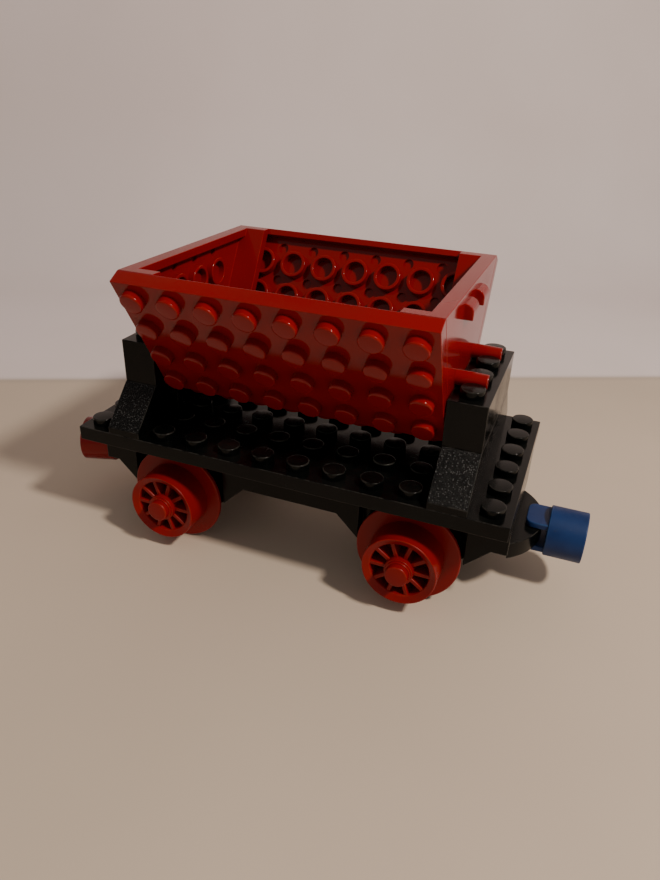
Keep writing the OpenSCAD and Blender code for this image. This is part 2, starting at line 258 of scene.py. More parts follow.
def addNode(tree, kind, settings=None, **sockets):
    node = tree.nodes.new(kind)
    for key, value in (settings or {}).items():
        setattr(node, key, value)
    for label, value in sockets.items():
        socket = node.inputs[int(label[1:])] if label[1:].isdigit() else node.inputs[label]
        if isinstance(value, bpy.types.NodeSocket):
            tree.links.new(value, socket)
        else:
            socket.default_value = value
    return node


def mathNode(tree, operation, a, b=0.0, clamp=False):
    settings = {"operation": operation, "use_clamp": clamp}
    return addNode(tree, "ShaderNodeMath", settings, i0=a, i1=b).outputs[0]


def noiseAt(tree, scale, detail=3.0, rough=0.5, stretch=None):
    where = addNode(tree, "ShaderNodeTexCoord").outputs["Object"]
    if stretch:
        where = addNode(tree, "ShaderNodeMapping", Vector=where, Scale=stretch).outputs[0]
    node = addNode(tree, "ShaderNodeTexNoise", Vector=where, Scale=scale, Detail=detail, Roughness=rough)
    return node.outputs[0]


def ramp(tree, value, low, high):
    # 0 up to low, 1 from high
    return addNode(tree, "ShaderNodeMapRange", {"interpolation_type": "SMOOTHSTEP"},
                   i0=value, i1=low, i2=high, i3=0.0, i4=1.0).outputs[0]


def makeEdgeWear():
    # Broken pale wear on the rounded edges
    group, given, out = newGroup("edgeWear", {"Amount": 0.5, "Scale": 400.0}, ["Mask"])
    edge = addNode(group, "ShaderNodeAttribute", {"attribute_name": "edgeMask"}).outputs["Fac"]
    patches = ramp(group, noiseAt(group, given.outputs["Scale"], 5.0, 0.7), 0.38, 0.62)
    worn = mathNode(group, "MULTIPLY", edge, patches)
    group.links.new(mathNode(group, "MULTIPLY", worn, given.outputs["Amount"], True), out.inputs["Mask"])
    return group


def makeDust():
    # Dust that settles on faces that look up, in soft patches with fine specks
    group, given, out = newGroup("dust", {"Amount": 0.3, "Scale": 90.0, "Everywhere": 0.2}, ["Mask"])
    normal = addNode(group, "ShaderNodeNewGeometry").outputs["Normal"]
    upward = ramp(group, addNode(group, "ShaderNodeSeparateXYZ", Vector=normal).outputs["Z"], 0.1, 0.9)
    lying = mathNode(group, "MAXIMUM", upward, given.outputs["Everywhere"])
    patches = ramp(group, noiseAt(group, given.outputs["Scale"], 4.0, 0.6), 0.35, 0.75)
    specks = ramp(group, noiseAt(group, 2600.0, 2.0, 0.5), 0.62, 0.72)
    cover = mathNode(group, "ADD", patches, mathNode(group, "MULTIPLY", specks, 0.5))
    settled = mathNode(group, "MULTIPLY", cover, lying)
    dusty = mathNode(group, "MULTIPLY", settled, given.outputs["Amount"], True)
    group.links.new(dusty, out.inputs["Mask"])
    return group


def makeHandling():
    # Finger smears and fine scratches: a roughness, and a height for the scratches
    group, given, out = newGroup("handling", {"Smooth": 0.1, "Smeared": 0.3, "Scale": 60.0, "Scratches": 0.5},
                                 ["Roughness", "Height"])
    smears = ramp(group, noiseAt(group, given.outputs["Scale"], 5.0, 0.65), 0.35, 0.8)
    lines = noiseAt(group, 260.0, 3.0, 0.6, (1.0, 9.0, 1.0))
    crossed = noiseAt(group, 260.0, 3.0, 0.6, (9.0, 1.0, 7.0))
    scratch = mathNode(group, "MAXIMUM", ramp(group, lines, 0.66, 0.7), ramp(group, crossed, 0.67, 0.71))
    scratch = mathNode(group, "MULTIPLY", scratch, given.outputs["Scratches"])
    spread = mathNode(group, "SUBTRACT", given.outputs["Smeared"], given.outputs["Smooth"])
    rough = mathNode(group, "ADD", mathNode(group, "MULTIPLY", smears, spread), given.outputs["Smooth"])
    rough = mathNode(group, "ADD", rough, mathNode(group, "MULTIPLY", scratch, roughening["scratch"]), True)
    group.links.new(rough, out.inputs["Roughness"])
    group.links.new(mathNode(group, "MULTIPLY", scratch, -1.0), out.inputs["Height"])
    return group


def makeMoulding():
    # The slow waviness of a moulded face, with a trace of tool grain
    group, given, out = newGroup("moulding", {"Waves": 1.0, "Grain": 0.1, "GrainScale": 3000.0}, ["Height"])
    waves = mathNode(group, "MULTIPLY", noiseAt(group, 70.0, 1.0, 0.4), given.outputs["Waves"])
    grain = mathNode(group, "MULTIPLY", noiseAt(group, given.outputs["GrainScale"], 3.0, 0.6),
                     given.outputs["Grain"])
    group.links.new(mathNode(group, "ADD", waves, grain), out.inputs["Height"])
    return group


groups = {"edgeWear": makeEdgeWear(), "dust": makeDust(), "handling": makeHandling(),
          "moulding": makeMoulding()}


def placeGroup(tree, name, **values):
    node = tree.nodes.new("ShaderNodeGroup")
    node.node_tree = groups[name]
    for label, value in values.items():
        node.inputs[label].default_value = value
    return node.outputs


def mixColour(tree, factor, a, b):
    node = tree.nodes.new("ShaderNodeMix")
    node.data_type = "RGBA"
    for socket, value in ((node.inputs["Factor"], factor), (node.inputs["A"], a), (node.inputs["B"], b)):
        if isinstance(value, bpy.types.NodeSocket):
            tree.links.new(value, socket)
        elif socket.type == "RGBA":
            socket.default_value = (*value, 1)
        else:
            socket.default_value = value
    return node.outputs["Result"]


def newMaterial(name):
    material = bpy.data.materials.new(name)
    material.use_nodes = True
    return material, material.node_tree, material.node_tree.nodes["Principled BSDF"]


moulded = {"ior": 1.53, "waves": 1.0, "grainScale": 3000.0, "bump": 0.18, "depth": 0.00004}
plastics = {
    "blackBrick": {**moulded, "colour": (0.0010, 0.0015, 0.0016), "shade": (0.0022, 0.0028, 0.0028),
                   "wear": (0.075, 0.070, 0.062), "wearAmount": 0.32, "dust": (0.15, 0.14, 0.12),
                   "dustAmount": 0.035, "everywhere": 0.12, "smooth": 0.13, "smeared": 0.27,
                   "scratches": 0.5, "grain": 0.05, "gloss": 0.15},
    "redBrick": {**moulded, "colour": (0.235, 0.0010, 0.0014), "shade": (0.205, 0.0008, 0.0010),
                 "wear": (0.36, 0.018, 0.014), "wearAmount": 0.3, "dust": (0.30, 0.14, 0.12),
                 "dustAmount": 0.015, "everywhere": 0.05, "smooth": 0.09, "smeared": 0.18,
                 "scratches": 0.3, "grain": 0.02, "gloss": 0.24},
    "redWheel": {**moulded, "colour": (0.235, 0.0016, 0.0012), "shade": (0.20, 0.0012, 0.0010),
                 "wear": (0.36, 0.03, 0.02), "wearAmount": 0.25, "dust": (0.30, 0.13, 0.10),
                 "dustAmount": 0.02, "everywhere": 0.15, "smooth": 0.27, "smeared": 0.42,
                 "scratches": 0.4, "waves": 0.6, "grain": 0.2, "gloss": 0.22},
}
# The grainy face's glint colour is a painted highlight: bright specks in the base colour that stand in for
# sparkle
plastics["blackBrickGrainy"] = {
    **plastics["blackBrick"], "dustAmount": 0.014, "smooth": 0.19, "smeared": 0.33, "grain": 3.0,
    "grainScale": 3400.0, "bump": 0.8, "depth": 0.00009, "paintedGlint": (0.075, 0.075, 0.075), "cells": 2500.0,
    "paintedGlintSize": 0.2}


def paintedGlints(tree, cellScale, size):
    # Painted highlight: bright specks painted into the base colour, scattered over a textured face, standing
    # in for the sparkle of its grain
    where = addNode(tree, "ShaderNodeTexCoord").outputs["Object"]
    cells = addNode(tree, "ShaderNodeTexVoronoi", Vector=where, Scale=cellScale)
    dots = mathNode(tree, "SUBTRACT", 1.0, ramp(tree, cells.outputs["Distance"], size, 2 * size))
    chance = addNode(tree, "ShaderNodeSeparateXYZ", Vector=cells.outputs["Color"]).outputs["X"]
    return mathNode(tree, "MULTIPLY", dots, ramp(tree, chance, 0.1, 1.0))


def makePlastic(name):
    look = plastics[name]
    material, tree, shader = newMaterial(name)
    worn = placeGroup(tree, "edgeWear", Amount=look["wearAmount"])["Mask"]
    dusty = placeGroup(tree, "dust", Amount=look["dustAmount"], Everywhere=look["everywhere"])["Mask"]
    handled = placeGroup(tree, "handling", Smooth=look["smooth"], Smeared=look["smeared"],
                         Scratches=look["scratches"])
    mottle = ramp(tree, noiseAt(tree, 45.0, 3.0, 0.5), 0.3, 0.7)
    colour = mixColour(tree, mottle, look["colour"], look["shade"])
    colour = mixColour(tree, worn, colour, look["wear"])
    colour = mixColour(tree, dusty, colour, look["dust"])
    # Painted highlight: glint specks mixed into the base colour
    if "paintedGlint" in look:
        colour = mixColour(tree, paintedGlints(tree, look["cells"], look["paintedGlintSize"]), colour, look["paintedGlint"])
    tree.links.new(colour, shader.inputs["Base Color"])
    dustRough = mathNode(tree, "MULTIPLY", dusty, roughening["dust"])
    rough = mathNode(tree, "ADD", handled["Roughness"], dustRough, True)
    tree.links.new(rough, shader.inputs["Roughness"])
    surface = placeGroup(tree, "moulding", Waves=look["waves"], Grain=look["grain"],
                         GrainScale=look["grainScale"])["Height"]
    height = mathNode(tree, "ADD", surface, handled["Height"])
    bump = addNode(tree, "ShaderNodeBump", Height=height, Strength=look["bump"], Distance=look["depth"])
    tree.links.new(bump.outputs[0], shader.inputs["Normal"])
    shader.inputs["Specular IOR Level"].default_value = look["gloss"]
    shader.inputs["IOR"].default_value = look["ior"]
    return material


bluePlastic = {"colour": (0.003, 0.020, 0.095), "faded": (0.006, 0.030, 0.125), "dirt": (0.026, 0.027, 0.030),
               "dirtShare": 0.8, "wear": (0.03, 0.08, 0.20), "wearAmount": 0.5, "smooth": 0.36,
               "smeared": 0.6, "scratches": 0.9, "grain": 0.5, "grainScale": 2200.0, "bump": 0.35,
               "depth": 0.00006, "gloss": 0.28}


def makeBlue():
    # Faded, with dirt in smudged spots
    look = bluePlastic
    material, tree, shader = newMaterial("blueCoupler")
    worn = placeGroup(tree, "edgeWear", Amount=look["wearAmount"])["Mask"]
    handled = placeGroup(tree, "handling", Smooth=look["smooth"], Smeared=look["smeared"],
                         Scratches=look["scratches"])
    faded = ramp(tree, noiseAt(tree, 160.0, 5.0, 0.6), 0.35, 0.65)
    spots = ramp(tree, noiseAt(tree, 260.0, 3.0, 0.55), 0.58, 0.7)
    smudged = mathNode(tree, "MULTIPLY", spots, ramp(tree, noiseAt(tree, 110.0, 2.0, 0.5), 0.42, 0.6))
    colour = mixColour(tree, faded, look["colour"], look["faded"])
    colour = mixColour(tree, mathNode(tree, "MULTIPLY", smudged, look["dirtShare"]), colour, look["dirt"])
    colour = mixColour(tree, worn, colour, look["wear"])
    tree.links.new(colour, shader.inputs["Base Color"])
    spotRough = mathNode(tree, "MULTIPLY", spots, roughening["spots"])
    rough = mathNode(tree, "ADD", handled["Roughness"], spotRough, True)
    tree.links.new(rough, shader.inputs["Roughness"])
    surface = placeGroup(tree, "moulding", Grain=look["grain"], GrainScale=look["grainScale"])["Height"]
    height = mathNode(tree, "ADD", surface, handled["Height"])
    bump = addNode(tree, "ShaderNodeBump", Height=height, Strength=look["bump"], Distance=look["depth"])
    tree.links.new(bump.outputs[0], shader.inputs["Normal"])
    shader.inputs["Specular IOR Level"].default_value = look["gloss"]
    return material


metals = {
    "axleSteel": {"dark": (0.42, 0.41, 0.40), "bright": (0.62, 0.61, 0.60), "metallic": 1.0, "rough": 0.18,
                  "rougher": 0.25, "bump": 0.2, "depth": 0.00003},
    "ferrite": {"dark": (0.045, 0.045, 0.05), "bright": (0.11, 0.11, 0.115), "metallic": 0.7, "rough": 0.3,
                "rougher": 0.3, "bump": 0.4, "depth": 0.00006},
}


def finishMetal(material, tree, shader, bright, relief):
    look = metals[material.name]
    shader.inputs["Metallic"].default_value = look["metallic"]
    tree.links.new(mixColour(tree, bright, look["dark"], look["bright"]), shader.inputs["Base Color"])
    rough = mathNode(tree, "ADD", mathNode(tree, "MULTIPLY", relief, look["rougher"]), look["rough"])
    tree.links.new(rough, shader.inputs["Roughness"])
    bump = addNode(tree, "ShaderNodeBump", Height=relief, Strength=look["bump"], Distance=look["depth"])
    tree.links.new(bump.outputs[0], shader.inputs["Normal"])
    return material


def makeSteel():
    # Drawn rod: fine lines along the axle
    material, tree, shader = newMaterial("axleSteel")
    drawn = noiseAt(tree, 900.0, 3.0, 0.6, (1.0, 0.03, 1.0))
    return finishMetal(material, tree, shader, drawn, drawn)


def makeFerrite():
    # Sintered magnet: dark, with fine pits and a polished bloom where magnets meet
    material, tree, shader = newMaterial("ferrite")
    pits = noiseAt(tree, 2400.0, 4.0, 0.7)
    bloom = ramp(tree, noiseAt(tree, 220.0, 3.0, 0.5), 0.4, 0.6)
    return finishMetal(material, tree, shader, bloom, pits)


paint = {"black": makePlastic("blackBrick"), "grainy": makePlastic("blackBrickGrainy"),
         "red": makePlastic("redBrick"), "wheel": makePlastic("redWheel"), "blue": makeBlue(),
         "steel": makeSteel(), "ferrite": makeFerrite()}
print("materials made")

# Stud-and-tube bricks

brick = {"pitch": 8.0, "gap": 0.1, "plate": 3.2, "high": 9.6, "wall": 1.45, "roof": 1.0, "edge": 0.16,
         "studR": 2.4, "studH": 1.7, "studEdge": 0.25, "bucketStudEdge": 0.42, "studSides": 40,
         "tubeOuter": 3.2, "tubeInner": 2.4, "tubeEdge": 0.2, "tubeSides": 36,
         "postR": 1.5, "postH": 8.4, "postSides": 28, "holeR": 1.2, "holeDeep": 0.85, "sunk": 0.3}


def makeStud(edge):
    r, h = brick["studR"], brick["studH"]
    line = [(0, -brick["sunk"]), (r, -brick["sunk"]), (r, h), (0, h)]
    return turned(rounded(line, edge, sharp=(1,), steps=4), brick["studSides"])


def makeTube(high):
    inner, outer = brick["tubeInner"], brick["tubeOuter"]
    line = [(inner, high), (inner, 0), (outer, 0), (outer, high)]
    return turned(rounded(line, brick["tubeEdge"]), brick["tubeSides"], closed=True)


stud, bucketStud = makeStud(brick["studEdge"]), makeStud(brick["bucketStudEdge"])
plateTube = makeTube(brick["plate"] - brick["roof"] + brick["sunk"])


def gridPoints(nx, ny, z=0.0):
    for i in range(nx):
        for j in range(ny):
            yield (i - (nx - 1) / 2) * brick["pitch"], (j - (ny - 1) / 2) * brick["pitch"], z


def addStuds(target, nx, ny, z, shape=stud):
    for spot in gridPoints(nx, ny, z):
        addPart(target, shape, move(*spot))


def tray(nx, ny, high, roof, holes):
    # Hollow brick open below. With holes, its ceiling has a small round hole behind each stud.
    pitch, perSide = brick["pitch"], 4
    half = [nx * pitch / 2 - brick["gap"], ny * pitch / 2 - brick["gap"]]
    inner = [half[0] - brick["wall"], half[1] - brick["wall"]]
    ceiling = high - roof
    part, known = newPart(), {}

    def corner(x, y, z):
        key = (round(x, 4), round(y, 4), round(z, 4))
        if key not in known:
            known[key] = part.verts.new((x, y, z))
        return known[key]

    def steps(count, reach):
        inside = [(k - count / 2) * pitch for k in range(1, count)] if holes else []
        return [-reach, *inside, reach]

    def between(stops):
        if not holes:
            return stops
        fine = [a + (b - a) * t / perSide for a, b in zip(stops, stops[1:]) for t in range(perSide)]
        return fine + [stops[-1]]

    def loopAround(xs, ys, z):
        spots = [(x, ys[0]) for x in xs[:-1]] + [(xs[-1], y) for y in ys[:-1]]
        spots += [(x, ys[-1]) for x in xs[:0:-1]] + [(xs[0], y) for y in ys[:0:-1]]
        return [corner(x, y, z) for x, y in spots]

    xStops, yStops = steps(nx, inner[0]), steps(ny, inner[1])
    for i in range(len(xStops) - 1):
        for j in range(len(yStops) - 1):
            cell = loopAround(between(xStops[i:i + 2]), between(yStops[j:j + 2]), ceiling)
            if not holes:
                part.faces.new(cell)
                continue
            centre = ((i - (nx - 1) / 2) * pitch, (j - (ny - 1) / 2) * pitch)
            rings = []
            for z in (ceiling, ceiling + brick["holeDeep"]):
                angles = [math.pi * 1.25 + 2 * math.pi * k / len(cell) for k in range(len(cell))]
                rings.append([corner(centre[0] + brick["holeR"] * math.cos(a),
                                     centre[1] + brick["holeR"] * math.sin(a), z) for a in angles])
            for k in range(len(cell)):
                n = (k + 1) % len(cell)
                part.faces.new((cell[k], cell[n], rings[0][n], rings[0][k]))
                part.faces.new((rings[0][k], rings[0][n], rings[1][n], rings[1][k]))
            part.faces.new(rings[1])
    xs, ys = between(xStops), between(yStops)
    upper = loopAround(xs, ys, ceiling)
    # Where each side of the ceiling's outline starts
    starts = [0, len(xs) - 1, len(xs) + len(ys) - 2, 2 * len(xs) + len(ys) - 3, len(upper)]
    signs = ((-1, -1), (1, -1), (1, 1), (-1, 1))
    foot, top = ([corner(x * half[0], y * half[1], z) for x, y in signs] for z in (0.0, high))
    lip = [corner(x * inner[0], y * inner[1], 0.0) for x, y in signs]
    part.faces.new(top)
    for side in range(4):
        n = (side + 1) % 4
        run = [upper[k % len(upper)] for k in range(starts[side], starts[side + 1] + 1)]
        part.faces.new((foot[side], foot[n], top[n], top[side]))
        part.faces.new((foot[side], foot[n], lip[n], lip[side]))
        part.faces.new([lip[side], lip[n], *run[::-1]])
    bmesh.ops.recalc_face_normals(part, faces=part.faces)

    def isOuter(v):
        return abs(v.co.x) > half[0] - meshing["weld"] or abs(v.co.y) > half[1] - meshing["weld"]

    def isFoot(v):
        return v.co.z < meshing["weld"]

    chosen = [e for e in part.edges if e.calc_face_angle(0) > math.radians(meshing["roundFrom"])
              and (all(isOuter(v) for v in e.verts) or all(isFoot(v) for v in e.verts))]
    return roundEdges(part, brick["edge"], chosen)


def plate(nx, ny, shape=stud):
    part = tray(nx, ny, brick["plate"], brick["roof"], True)
    addStuds(part, nx, ny, brick["plate"], shape)
    for spot in gridPoints(nx - 1, ny - 1):
        addPart(part, plateTube, move(*spot))
    return part


def narrowBrick(ny):
    part = tray(1, ny, brick["high"], brick["wall"], False)
    line = [(0, 0), (brick["postR"], 0), (brick["postR"], brick["postH"]), (0, brick["postH"])]
    post = turned(rounded(line, brick["tubeEdge"], sharp=(2,)), brick["postSides"])
    for spot in gridPoints(1, ny - 1):
        addPart(part, post, move(*spot))
    addStuds(part, 1, ny, brick["high"])
    return part


slope = {"lip": 1.5, "long": 7.9, "faceTilt": 0.6, "faceArea": 20.0}


def slopeBrick():
    # One stud wide, two deep, its low edge towards -Y; the sloping face is grainy
    high, wall, lip, run = brick["high"], brick["wall"], slope["lip"], slope["long"]
    rise = high - lip
    shift = wall * math.hypot(run, rise) / rise
    outside = [(-run, 0), (run, 0), (run, high), (0, high), (-run, lip)]
    start = -run + wall
    foot = -meshing["past"]
    inside = [(start, foot), (run - wall, foot), (run - wall, high - wall),
              (-run + (high - wall - lip) * run / rise + shift, high - wall),
              (start, lip + (wall - shift) * rise / run)]
    half = brick["pitch"] / 2 - brick["gap"]
    body = placed(prism(outside, -half, half), alongX)
    hollow = placed(prism(inside, -half + wall, half - wall), alongX)
    part = roundEdges(carve(body, [hollow]), brick["edge"])
    tilt = slope["faceTilt"]
    for face in part.faces:
        if face.normal.y < -tilt and face.normal.z > tilt and face.calc_area() > slope["faceArea"]:
            face.material_index = 1
    return addPart(part, stud, move(0, run / 2, high))


# Deck

deckLow, deckHigh = boxOf("deck_plate")
deckTop = deckHigh.z - brick["studH"]
frameTop = deckLow.z
deckStuds = (12, 6)


def blackPiece(node, part, paints=(paint["black"],)):
    finishPiece(node, part, "chassis", paints)


def buildDeck():
    blackPiece("deck_plate", placed(plate(*deckStuds), move(z=frameTop)))


buildDeck()

# Chassis box with a guard and a recess at each wheel

chassis = {"low": 15.9, "halfY": 15.9, "wall": 1.6, "roof": 1.2, "guardLow": 8.3, "guardTop": 16.7,
           "guardFoot": 9.0, "recess": 11.5, "recessDeep": 3.0, "recessTop": 22.3, "corner": 4.0,
           "inner": 11.3, "endWall": 1.5, "slot": 2.2, "edge": 0.2, "studRows": 1.5}
axleX = (boxOf("front_axle")[0].x + boxOf("front_axle")[1].x) / 2
axleZ = (boxOf("front_axle")[0].z + boxOf("front_axle")[1].z) / 2


def buildChassis():
    # Box, open below. Its sides are thick only behind the wheel recesses, and slots let the axles through.
    c = chassis
    past, halfX, roofLow = meshing["past"], deckHigh.x, frameTop - c["roof"]
    edge = [(-halfX, frameTop), (-halfX, c["low"])]
    for x in (-axleX, axleX):
        edge += [(x - c["guardTop"], c["low"]), (x - c["guardFoot"], c["guardLow"]),
                 (x + c["guardFoot"], c["guardLow"]), (x + c["guardTop"], c["low"])]
    edge += [(halfX, c["low"]), (halfX, frameTop)]
    body = placed(prism(edge, -c["halfY"], c["halfY"]), alongY)
    endX = halfX - c["endWall"]
    cuts = [slab((-endX, -c["inner"], 0), (endX, c["inner"], roofLow))]
    behind = c["recess"] + c["wall"]
    inside = c["halfY"] - c["wall"]
    stretches = [(-endX, -axleX - behind), (-axleX + behind, axleX - behind), (axleX + behind, endX)]
    for low, high in stretches:
        for side in (-1, 1):
            ys = sorted((side * (c["inner"] - past), side * inside))
            cuts.append(slab((low, ys[0], 0), (high, ys[1], roofLow)))
    corners = rounded([(-c["recess"], 0), (-c["recess"], c["recessTop"]), (c["recess"], c["recessTop"]),
                       (c["recess"], 0)], c["corner"], steps=5)
    for x in (-axleX, axleX):
        for side in (-1, 1):
            ys = sorted((side * (c["halfY"] - c["recessDeep"]), side * (c["halfY"] + past)))
            well = prism([(x + px, pz) for px, pz in corners], -ys[1], -ys[0])
            cuts.append(placed(well, alongY))
        cuts.append(slab((x - c["slot"], -c["halfY"] - past, 0),
                         (x + c["slot"], c["halfY"] + past, axleZ + c["slot"])))
    part = roundEdges(carve(body, cuts), c["edge"])
    for x, _, z in gridPoints(deckStuds[0], 1, frameTop):
        for side in (-1, 1):
            addPart(part, stud, move(x, side * c["studRows"] * brick["pitch"], z))
    blackPiece("chassis_frame", part)


buildChassis()

# Axle carriers

carrier = {"outer": 11.2, "cheek": 3.2, "halfX": 5.0, "top": 1.6, "drop": 3.4, "bore": 1.55,
           "boreHalf": 20.0, "boreSides": 32, "edge": 0.25}


def buildCarriers():
    c = carrier
    top = frameTop - chassis["roof"]
    low, gapTop, inner = axleZ - c["drop"], top - c["top"], c["outer"] - c["cheek"]
    section = [(-c["outer"], low), (-inner, low), (-inner, gapTop), (inner, gapTop), (inner, low),
               (c["outer"], low), (c["outer"], top), (-c["outer"], top)]
    body = placed(prism(section, -c["halfX"], c["halfX"]), alongX)
    ends = [(0, -c["boreHalf"]), (c["bore"], -c["boreHalf"]), (c["bore"], c["boreHalf"]), (0, c["boreHalf"])]
    bore = turned(ends, c["boreSides"])
    part = roundEdges(carve(body, [placed(bore, move(z=axleZ) @ turn(90, "X"))]), c["edge"])
    for name, x in (("front_axle_carrier", axleX), ("rear_axle_carrier", -axleX)):
        blackPiece(name, placed(part, move(x=x)))


buildCarriers()

# Coupling bars with their round tongues

coupling = {"z": 14.0, "swingX": 39.0, "tongueR": 14.3, "tongueH": 3.8, "tongueX": 47.5, "tongueSteps": 28,
            "tailX": 36.0, "tailY": 9.5, "slotR": 12.0, "slotHalf": 1.1, "slotAngle": 26.0, "slotTop": 0.8,
            "slotSteps": 14, "edge": 0.3, "blockIn": 0.1, "blockSunk": 0.5, "blockEdge": 0.2}


def buildCouplingBars():
    # A round tongue with a blind arc slot below, and a block that holds its tail to the chassis roof
    c = coupling
    middle = (c["swingX"], 0)
    spread = math.degrees(math.acos((c["tongueX"] - c["swingX"]) / c["tongueR"]))
    outline = [(c["tailX"], -c["tailY"]), (c["tongueX"], -c["tailY"])]
    outline += arc(middle, c["tongueR"], -spread, spread, c["tongueSteps"])
    outline += [(c["tongueX"], c["tailY"]), (c["tailX"], c["tailY"])]
    low, high = c["z"] - c["tongueH"] / 2, c["z"] + c["tongueH"] / 2
    outer, inner = (arc(middle, radius, -c["slotAngle"], c["slotAngle"], c["slotSteps"])
                    for radius in (c["slotR"] + c["slotHalf"], c["slotR"] - c["slotHalf"]))
    slot = prism(outer + inner[::-1], low - meshing["past"], c["z"] + c["slotTop"])
    part = roundEdges(carve(prism(outline, low, high), [slot]), c["edge"])
    endX = deckHigh.x - chassis["endWall"]
    blockY = c["tailY"] - c["blockIn"]
    addPart(part, slab((c["tailX"] + c["blockIn"], -blockY, high - c["blockSunk"]),
                       (endX, blockY, frameTop - chassis["roof"]), c["blockEdge"]))
    blackPiece("front_coupling_bar", placed(part))
    blackPiece("rear_coupling_bar", placed(part, frontBack))


buildCouplingBars()
print("chassis built")

# Bucket supports


def buildSupports():
    corner = slopeBrick()
    centre, topBrick = narrowBrick(2), narrowBrick(4)
    both = [paint["black"], paint["grainy"]]
    for end in ("front", "rear"):
        low, high = boxOf(end + "_centre_brick")
        x = (low.x + high.x) / 2
        right = move(x, -2 * brick["pitch"], deckTop)
        blackPiece(end + "_right_slope", placed(corner, right), both)
        blackPiece(end + "_left_slope", placed(corner, leftRight @ right), both)
        blackPiece(end + "_centre_brick", placed(centre, move(x, 0, deckTop)))
        blackPiece(end + "_top_brick", placed(topBrick, move(x, 0, deckTop + brick["high"])))


buildSupports()
print("supports built")

# Wheelsets

wheel = {"flangeR": 11.3, "treadR": 7.85, "rimInner": 6.2, "collarR": 3.05, "stepR": 2.75, "hubR": 2.4,
         "backR": 3.2, "back": 13.2, "flangeBack": 16.15, "flangeFront": 17.15, "rimFace": 23.95,
         "treadDraft": 0.1, "flangeDraft": 0.05, "pocketDraft": 0.15, "dish": 0.85, "step": 0.45,
         "hubFace": 25.6, "pocketBack": 17.75, "round": 0.32, "sides": 72,
         "spokes": 10, "spokeW": 0.9, "spokeDeep": 2.6, "spokeSink": 0.95, "spokeDraft": 0.1,
         "spokeIn": 0.3, "spokeEdge": 0.22, "axleR": 1.5, "axleHalf": 22.0, "axleEdge": 0.3, "axleSides": 40}


def spokedWheel():
    # Turned body with flange, tread, dished rim, open pocket and hub, then the spokes across the pocket
    w = wheel
    line = [(0, w["back"]), (w["backR"], w["back"]), (w["backR"], w["flangeBack"]),
            (w["flangeR"], w["flangeBack"]), (w["flangeR"], w["flangeFront"]),
            (w["treadR"] + w["treadDraft"], w["flangeFront"] + w["flangeDraft"]), (w["treadR"], w["rimFace"]),
            (w["rimInner"], w["rimFace"] - w["dish"]), (w["rimInner"] - w["pocketDraft"], w["pocketBack"]),
            (w["collarR"] + w["pocketDraft"], w["pocketBack"]), (w["collarR"], w["rimFace"]),
            (w["stepR"], w["rimFace"]), (w["stepR"], w["rimFace"] + w["step"]),
            (w["hubR"], w["rimFace"] + w["step"]), (w["hubR"], w["hubFace"]), (0, w["hubFace"])]
    part = turned(rounded(line, w["round"], sharp=(2, 5, 8, 9, 11, 13)), w["sides"])
    front, half = w["rimFace"] - w["spokeSink"], w["spokeW"] / 2
    back, wide = front - w["spokeDeep"], half + w["spokeDraft"]
    section = [(-wide, back), (wide, back), (half, front), (-half, front)]
    spoke = prism(section, w["collarR"] - w["spokeIn"], w["rimInner"] + w["spokeIn"], w["spokeEdge"], 3)
    spoke = placed(spoke, alongX)
    for k in range(w["spokes"]):
        addPart(part, spoke, turn(360 * k / w["spokes"], "Z"))
    return part


def buildWheelsets():
    w = wheel
    shape = spokedWheel()
    r, half = w["axleR"], w["axleHalf"]
    rod = turned(rounded([(0, -half), (r, -half), (r, half), (0, half)], w["axleEdge"]), w["axleSides"])
    for end, x in (("front", axleX), ("rear", -axleX)):
        body = end + "_wheelset"
        left = move(x, 0, axleZ) @ turn(-90, "X")
        right = move(x, 0, axleZ) @ leftRight @ turn(-90, "X")
        for side, place in (("_left", left), ("_right", right)):
            finishPiece(end + side + "_wheel", placed(shape, place), body,
                        [paint["wheel"]])
        finishPiece(end + "_axle", placed(rod, left), body, [paint["steel"]])


buildWheelsets()
print("wheelsets built")

# Couplers, made at the front and swung round to the rear

coupler = {"caseX": 54.4, "caseR": 5.5, "caseLong": 7.8, "noseEdge": 0.95, "backEdge": 0.3,
           "mouthEdge": 0.12, "caseSides": 64, "magnetR": 4.3, "magnetLong": 5.0, "magnetSink": 0.2,
           "magnetPlay": 0.08, "magnetBehind": 0.02, "magnetEdge": 0.3, "magnetSides": 56,
           "tabGap": 0.25, "tabT": 1.35, "tabX": 49.7, "tabY": 4.0, "tabIn": 1.2, "tabCorner": 2.0,
           "tabEdge": 0.28, "pinR": 1.0, "pinSink": 0.3, "pinShort": 0.3, "pinEdge": 0.2, "pinSides": 28,
           "rearSwing": 18.0}


def caseShape(magnetBack):
    # Cup that is open at its nose for the magnet, with its own rounding at the back, nose and mouth
    c = coupler
    mouth, deep = c["magnetR"] + c["magnetPlay"], magnetBack - c["magnetBehind"]
    waist, lip = (c["caseR"], c["caseLong"] / 2), ((c["caseR"] + mouth) / 2, c["caseLong"])
    line = rounded([(0, 0), (c["caseR"], 0), waist], c["backEdge"])
    line += rounded([waist, (c["caseR"], c["caseLong"]), lip], c["noseEdge"], steps=6)[1:]
    line += rounded([lip, (mouth, c["caseLong"]), (mouth, deep), (0, deep)], c["mouthEdge"])[1:]
    return turned(line, c["caseSides"])


